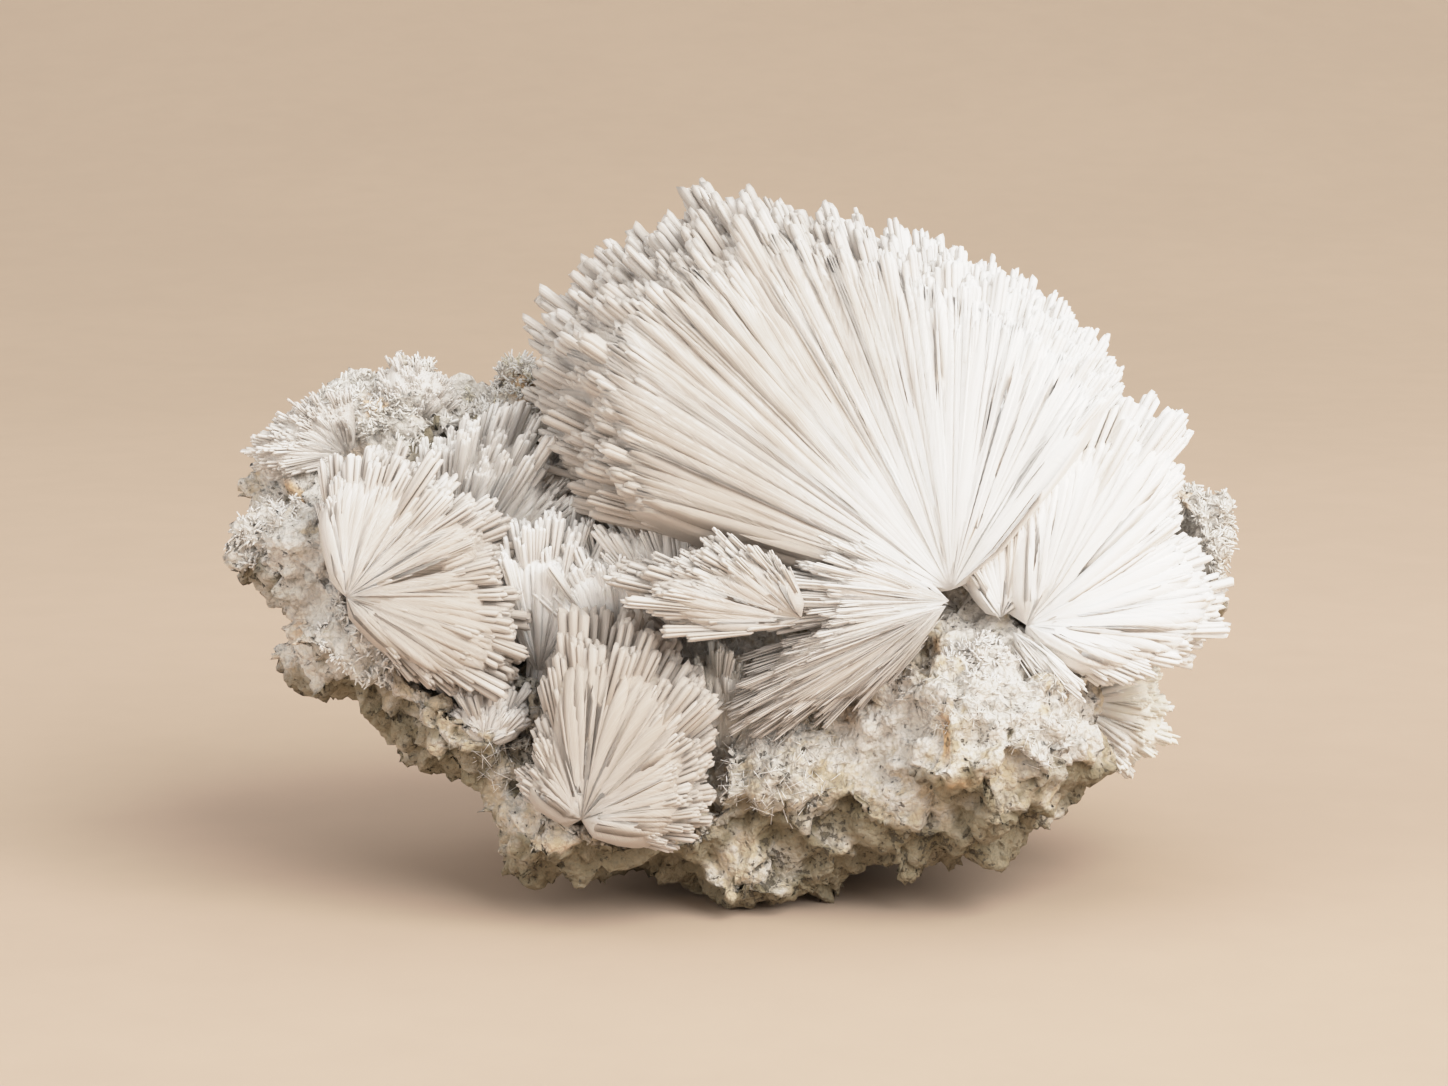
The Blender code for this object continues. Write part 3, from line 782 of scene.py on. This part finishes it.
fine_rock = remeshed(merged_copy("matrix_rock"), ROCK_VOXEL)
print("fine rock:", len(fine_rock.vertices), "points")

# %% Its relief, in millimetres
CHUNK_SIZE, CREASE_DEPTH, CHUNK_STEP = 4.2, 1.2, 0.8
LUMP_SIZE, LUMP_HEIGHT = 7.0, 0.8
CRUMB_SIZE, CRUMB_MIDDLE, CRUMB_HEIGHT = 3.2, 0.4, 1.0
GRIT_SIZE, GRIT_HEIGHT, CHIP_STEP = 1.4, 0.5, 0.7
PIT_SIZE, PIT_DEPTH, PIT_SHARE = 1.9, 0.8, 0.3
# noise_vector takes its offsets from the clock, unless it is given a seed
ROCK_SEED = 700
noise.seed_set(ROCK_SEED)
# Holes that are seen on the front: x, z, radius and depth
HOLES = [(-45.6, 26.2, 1.5, 1.6), (-33.5, 15.8, 1.3, 1.4), (-26.3, 15.2, 1.7, 1.6), (40.8, 16.6, 1.5, 1.8),
         (33.6, 11.4, 2.6, 0.6), (22.5, 8.2, 2.6, 0.7), (18.0, 8.8, 2.4, 0.7), (27.0, 7.4, 2.4, 0.6),
         (3.4, 8.5, 1.6, 1.2), (9.7, 10.5, 1.7, 1.3), (13.2, 12.6, 1.9, 1.5), (-3.0, 11.0, 1.4, 1.0),
         (31.0, 23.5, 1.2, 0.9), (-53.8, 47.2, 1.6, 1.4), (-51.3, 48.4, 1.4, 1.2), (19.5, 25.5, 1.2, 1.0)]


def falloff(distance, radius):
    return max(0.0, 1 - (distance / radius) ** 2) ** 2


def rock_relief(point, facing):
    """How far the surface stands out, and how much painted shade its hollows get from 0 to 1, at a point in
    millimetres.
    """
    warped = point + noise.noise_vector(point / 4.5) * 1.6
    near, cells = noise.voronoi(warped / CHUNK_SIZE)
    crease = max(0.0, 1 - (near[1] - near[0]) * 3.2) * max(0.0, min(1.0, 0.55 + noise.noise(point / 8) * 1.6))
    chunk = noise.cell(cells[0] * 7.3) - 0.5
    lump = noise.fractal(point / LUMP_SIZE, 0.9, 2.0, 3)
    crumb = noise.turbulence(warped / CRUMB_SIZE, 3, True) - CRUMB_MIDDLE
    grit = noise.turbulence(point / GRIT_SIZE, 2, True) - CRUMB_MIDDLE
    near, cells = noise.voronoi(warped / PIT_SIZE + Vector((5, 3, 8)))
    pitted = noise.cell(cells[0] * 9.1) < PIT_SHARE * (1 + noise.noise(point / 11) * 2.5)
    pit = falloff(near[0], 0.42) if pitted else 0.0
    chip = noise.cell(cells[0] * 5.1) - 0.5
    hole, depth = 0.0, 0.0
    if facing.y < 0.2:
        for x, z, radius, deep in HOLES:
            here = falloff(math.hypot(point.x - x, point.z - z) * (1 + crumb * 0.8), radius)
            hole, depth = max(hole, here), max(depth, here * deep)
    height = (lump * LUMP_HEIGHT + chunk * CHUNK_STEP + crumb * CRUMB_HEIGHT + grit * GRIT_HEIGHT + chip * CHIP_STEP
              - crease * CREASE_DEPTH - pit * PIT_DEPTH)
    # Painted shade: creases, pits, holes and the low parts of crumbs and grit are marked here to be darkened
    hollow_shade = max(crease * 0.6, pit * 0.9, hole) + max(0.0, -crumb - 0.15) * 1.6 + max(0.0, -grit - 0.2)
    if height > 0 and facing.z < 0.3:
        height *= 1 + (facing.z - 0.3) * 0.65
    return height - depth, min(1.0, hollow_shade)

# %% Its stains and its frost
# Each stain on the front: x, z, how wide, how high and how strong
STAINS = [(23.0, 22.7, 1.0, 3.4, 1.0), (25.1, 17.0, 4.5, 1.6, 0.75), (22.6, 32.0, 0.7, 1.2, 0.7),
          (-20.5, 9.5, 4.5, 1.2, 0.55), (-50.0, 31.5, 2.0, 1.8, 0.6), (12.0, 24.0, 3.0, 3.0, 0.55),
          (-43.0, 56.8, 2.0, 1.8, 0.8), (-42.0, 61.0, 1.5, 1.2, 0.8), (-52.5, 47.8, 2.4, 1.2, 0.8),
          (52.5, 45.5, 1.8, 2.4, 0.7), (-26.0, 57.5, 4.0, 2.5, 0.8)]
# Where the rock is made darker and more olive: x, z and radius
OLIVE_PATCHES = [(31.0, 11.0, 10.0), (14.0, 17.0, 7.0), (-47.0, 21.0, 7.0), (42.0, 17.0, 6.0)]
# Where the rock is white with crystal powder: x, z and radius
FROST = [(-48.0, 54.0, 14.0), (-34.0, 55.0, 9.0), (-22.0, 61.0, 8.0), (53.5, 46.0, 13.0), (29.0, 29.5, 8.0),
         (17.0, 22.0, 7.5), (37.5, 21.0, 5.5), (-42.0, 34.0, 9.0), (21.0, 21.5, 2.0), (-54.0, 42.0, 6.0), (2.0, 27.0, 8.0),
         (-50.0, 34.0, 11.0), (-4.0, 29.0, 7.0)]


def stain_at(point, facing):
    if facing.y > 0.3:
        return max(0.0, noise.noise(point / 9) - 0.25)
    here = max(falloff(math.hypot((point.x - x) / wide, (point.z - z) / high), 1.5) * strength
               for x, z, wide, high, strength in STAINS)
    return min(1.0, here + max(0.0, noise.noise(point / 9) - 0.3))


def frost_at(point):
    return max(falloff(math.hypot(point.x - x, point.z - z), radius * 1.3) for x, z, radius in FROST)


def olive_and_underside_shade_at(point, facing):
    """How much darker and more olive the rock is: painted shade where it faces the ground, and darker, more olive rock
    near the ground and in patches.
    """
    dull = max(falloff(math.hypot(point.x - x, point.z - z), radius) for x, z, radius in OLIVE_PATCHES)
    return min(1.0, max(0.0, -facing.z * 1.1 + 0.15) + max(0.0, 1 - point.z / 16) * 0.4 + dull * 0.45)


def make_rock():
    moved, marks = [], []
    for vert in fine_rock.vertices:
        point, facing = vert.co / MM, vert.normal
        height, hollow_shade = rock_relief(point, facing)
        place = vert.co + facing * height * MM
        place.z = max(place.z, 0.0)
        moved.append(place)
        marks.append((hollow_shade, stain_at(point, facing), frost_at(point), olive_and_underside_shade_at(point, facing)))
    fine_rock.vertices.foreach_set("co", np.array(moved, dtype=np.float32).ravel())
    for key, values in zip(("hollow_shade", "stain", "frost", "olive_and_underside_shade"), np.array(marks, dtype=np.float32).T):
        layer = fine_rock.attributes.new(key, "FLOAT", "POINT")
        layer.data.foreach_set("value", np.ascontiguousarray(values))
    fine_rock.update()
    fine_rock.shade_smooth()
    obj = bpy.data.objects.new("rock", fine_rock)
    bpy.context.scene.collection.objects.link(obj)
    return obj


rock = make_rock()
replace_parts(rock, "matrix_rock")
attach(rock, "root")
print("rock:", len(rock.data.polygons), "faces")

# %% Finish of the rock
ROCK_POWDER = (0.77, 0.73, 0.68)
ROCK_CREAM = (0.58, 0.485, 0.355)
ROCK_GREY_AND_SHADE = (0.37, 0.31, 0.225)
ROCK_OLIVE_AND_SHADE = (0.24, 0.195, 0.115)
ROCK_OCHRE = (0.62, 0.39, 0.19)
ROCK_SPECK = (0.09, 0.075, 0.055)


def rock_finish():
    finish = Finish("rock_grain", 0.9)
    place = finish.node("ShaderNodeTexCoord", output=3)
    broad = finish.mottle(place, 12 * MM)
    middle = finish.mottle(place, 3 * MM)
    fine = finish.mottle(place, 0.8 * MM)
    specks = finish.mottle(place, 0.7 * MM, detail=3.0)
    chips = finish.node("ShaderNodeTexVoronoi", {"feature": "F1"}, {"Vector": place, "Scale": 1 / (0.8 * MM)})
    hollow_shade = finish.attribute("hollow_shade")
    stain = finish.attribute("stain")
    frost = finish.attribute("frost")
    olive_and_underside_shade = finish.attribute("olive_and_underside_shade")
    white = middle * 0.9 + broad * 0.5 + fine * 0.5 + frost * 0.25
    colour = finish.mix(white.between(0.8, 1.1), ROCK_CREAM, ROCK_POWDER)
    dull = fine * 0.7 + broad * 0.5 - frost * 0.3
    colour = finish.mix(dull.between(0.55, 0.75) * 0.5, colour, ROCK_GREY_AND_SHADE)
    # Painted shade on the faces that look down, with greyer rock low down and in patches
    colour = finish.mix((olive_and_underside_shade + middle * 0.5 - 0.25).between(0.25, 0.9) * 0.6, colour, ROCK_GREY_AND_SHADE)
    colour = finish.mix((stain + middle * 0.6 + fine * 0.5).between(0.75, 1.45) * 0.85, colour, ROCK_OCHRE)
    # Painted shade in hollows and underneath, with more olive rock low down and in patches
    low = olive_and_underside_shade * 0.8 + hollow_shade * 0.7 + middle * 0.5 - frost * 0.4
    colour = finish.mix(low.between(0.6, 1.2) * 0.85, colour, ROCK_OLIVE_AND_SHADE)
    # Painted shade in the creases and pits
    crease_and_pit_shade = hollow_shade * 0.8 + fine * 0.5 - frost * 0.25
    colour = finish.mix(crease_and_pit_shade.between(0.58, 0.95) * 0.9, colour, ROCK_OLIVE_AND_SHADE)
    speckled = (specks + hollow_shade * 0.2 + broad * 0.5 + middle * 0.25 - frost * 0.12).between(1.04, 1.12)
    colour = finish.mix(speckled * 0.8, colour, ROCK_SPECK)
    colour = finish.mix((chips + fine * 0.6).between(0.85, 1.25) * 0.33, colour, ROCK_OLIVE_AND_SHADE)
    finish.feed(finish.shader.inputs["Base Color"], colour)
    finish.feed(finish.shader.inputs["Roughness"], 1 - fine * 0.25)
    height = fine + middle * 0.5 - chips * 0.7 - speckled * 0.4
    grains = finish.node("ShaderNodeBump", None, {"Strength": 1.0, "Distance": 0.55 * MM, "Height": height})
    finish.feed(finish.shader.inputs["Normal"], grains)
    return finish.material


rock.data.materials.clear()
rock.data.materials.append(rock_finish())
print("rock finish:", len(rock.data.materials[0].node_tree.nodes), "nodes")

# %% [markdown]
# ## The crust and the felt
# Between the fans the rock carries a crust of short crystals, and in places a felt of fine needles
# that lie any way round. Both are planted on the finished rock: faces of its mesh are picked inside
# a ball around each place, so the crust follows the rock round a corner and over its top. A tuft
# stands about the face's normal, and a felt needle lies almost along the face.

# %% Places on the rock
faces_many = len(rock.data.polygons)
rock_centres, rock_normals = np.zeros(faces_many * 3), np.zeros(faces_many * 3)
rock.data.polygons.foreach_get("center", rock_centres)
rock.data.polygons.foreach_get("normal", rock_normals)
rock_centres, rock_normals = rock_centres.reshape(-1, 3), rock_normals.reshape(-1, 3)


def on_front(x, z):
    """The rock's front surface at a place given in millimetres."""
    away = np.hypot(rock_centres[:, 0] - x * MM, rock_centres[:, 2] - z * MM)
    away[rock_normals[:, 1] > 0.3] += 1
    near = rock_centres[away < away.min() + 1 * MM]
    return near[near[:, 1].argmin()]


def picked_faces(x, z, radius, many, chance):
    middle = on_front(x, z)
    inside = np.flatnonzero(np.linalg.norm(rock_centres - middle, axis=1) < radius * MM)
    inside = inside[rock_centres[inside, 2] > 4 * MM]
    return chance.choice(inside, many)

# %% Tufts and needles
TUFT_BLADES = 10
# Each patch of crust: x, z, radius, tufts, blade length, half width, spread and stain
CRUST = {
    "arm_top": (-46.0, 58.5, 6.0, 80, 1.3, 0.15, 0.9, 0.12),
    "arm_right": (-36.5, 58.0, 8.0, 110, 1.5, 0.14, 0.9, 0.1),
    "arm_edge": (-55.5, 45.0, 5.5, 70, 1.2, 0.14, 0.9, 0.06),
    "notch": (-29.0, 57.5, 6.0, 60, 1.1, 0.13, 0.9, 0.5),
    "shoulder": (-22.5, 62.0, 7.5, 110, 1.6, 0.14, 0.8, 0.05),
    "right_rim": (53.5, 45.0, 10.0, 150, 1.4, 0.14, 0.9, 0.1),
    "right_top": (49.0, 55.0, 8.0, 90, 1.5, 0.14, 0.9, 0.06),
    "between_nuclei": (29.0, 31.5, 4.5, 50, 1.1, 0.12, 0.9, 0.0),
    "under_left_fan": (-42.0, 33.0, 6.0, 60, 1.3, 0.14, 0.9, 0.06),
}
# Each patch of felt: x, z, radius, needles and needle length
FELT = {
    "middle": (4.5, 21.0, 8.0, 320, 3.0),
    "step": (-4.0, 28.5, 6.5, 320, 3.4),
    "valley": (-18.5, 26.0, 7.0, 400, 3.4),
    "lower_left": (-24.5, 19.0, 6.0, 260, 2.6),
    "under_right_fan": (36.5, 24.5, 6.0, 220, 2.2),
    "under_nucleus": (24.5, 28.5, 6.0, 200, 1.8),
}


def tuft_blades(patch, chance):
    x, z, radius, tufts, length, wide, spread, stain = patch
    faces = np.repeat(picked_faces(x, z, radius, tufts, chance), TUFT_BLADES)
    many = len(faces)
    lean = unit(rock_normals[faces] + np.repeat(chance.normal(size=(tufts, 3)), TUFT_BLADES, axis=0) * 0.25)
    out = unit(lean + chance.normal(size=(many, 3)) * spread * 0.6)
    root = rock_centres[faces] - lean * 0.5 * MM + chance.normal(size=(many, 3)) * 0.25 * MM
    return dict(root=root, tip=root + out * (length * MM * chance.uniform(0.45, 1, (many, 1)) ** 0.7),
                facing=chance.normal(size=(many, 3)), wide=wide * MM * chance.uniform(0.7, 1.3, many),
                thin=chance.uniform(0.6, 1, many), taper=np.full(many, 0.9), near=np.full(many, 0.3),
                far=np.ones(many), tone=np.repeat(chance.random(tufts), TUFT_BLADES) * 0.4 + 0.5, heart=np.zeros(many),
                stain=np.full(many, stain) * chance.uniform(0.5, 1.5, many))


def needle_blades(patch, chance):
    x, z, radius, many, length = patch
    faces = picked_faces(x, z, radius, many, chance)
    along = unit(np.cross(rock_normals[faces], chance.normal(size=(many, 3))))
    out = unit(along + rock_normals[faces] * chance.uniform(-0.1, 0.45, (many, 1)))
    reach = length * MM * chance.uniform(0.4, 1, (many, 1))
    root = rock_centres[faces] + rock_normals[faces] * 0.1 * MM - out * reach * 0.4
    return dict(root=root, tip=root + out * reach, facing=chance.normal(size=(many, 3)),
                wide=np.full(many, 0.055 * MM), thin=np.ones(many), taper=np.full(many, 0.7), near=np.full(many, 0.3),
                far=np.full(many, 0.8), tone=chance.random(many), heart=np.zeros(many), stain=np.full(many, 0.08))


for number, (patch_name, patch) in enumerate(CRUST.items()):
    patch_chance = np.random.default_rng(500 + number)
    crystal_piece(patch_name + "_crust", [blade_heap(NEEDLE, tuft_blades(patch, patch_chance), patch_chance)])
for number, (patch_name, patch) in enumerate(FELT.items()):
    patch_chance = np.random.default_rng(600 + number)
    crystal_piece(patch_name + "_felt", [blade_heap(NEEDLE, needle_blades(patch, patch_chance), patch_chance)])
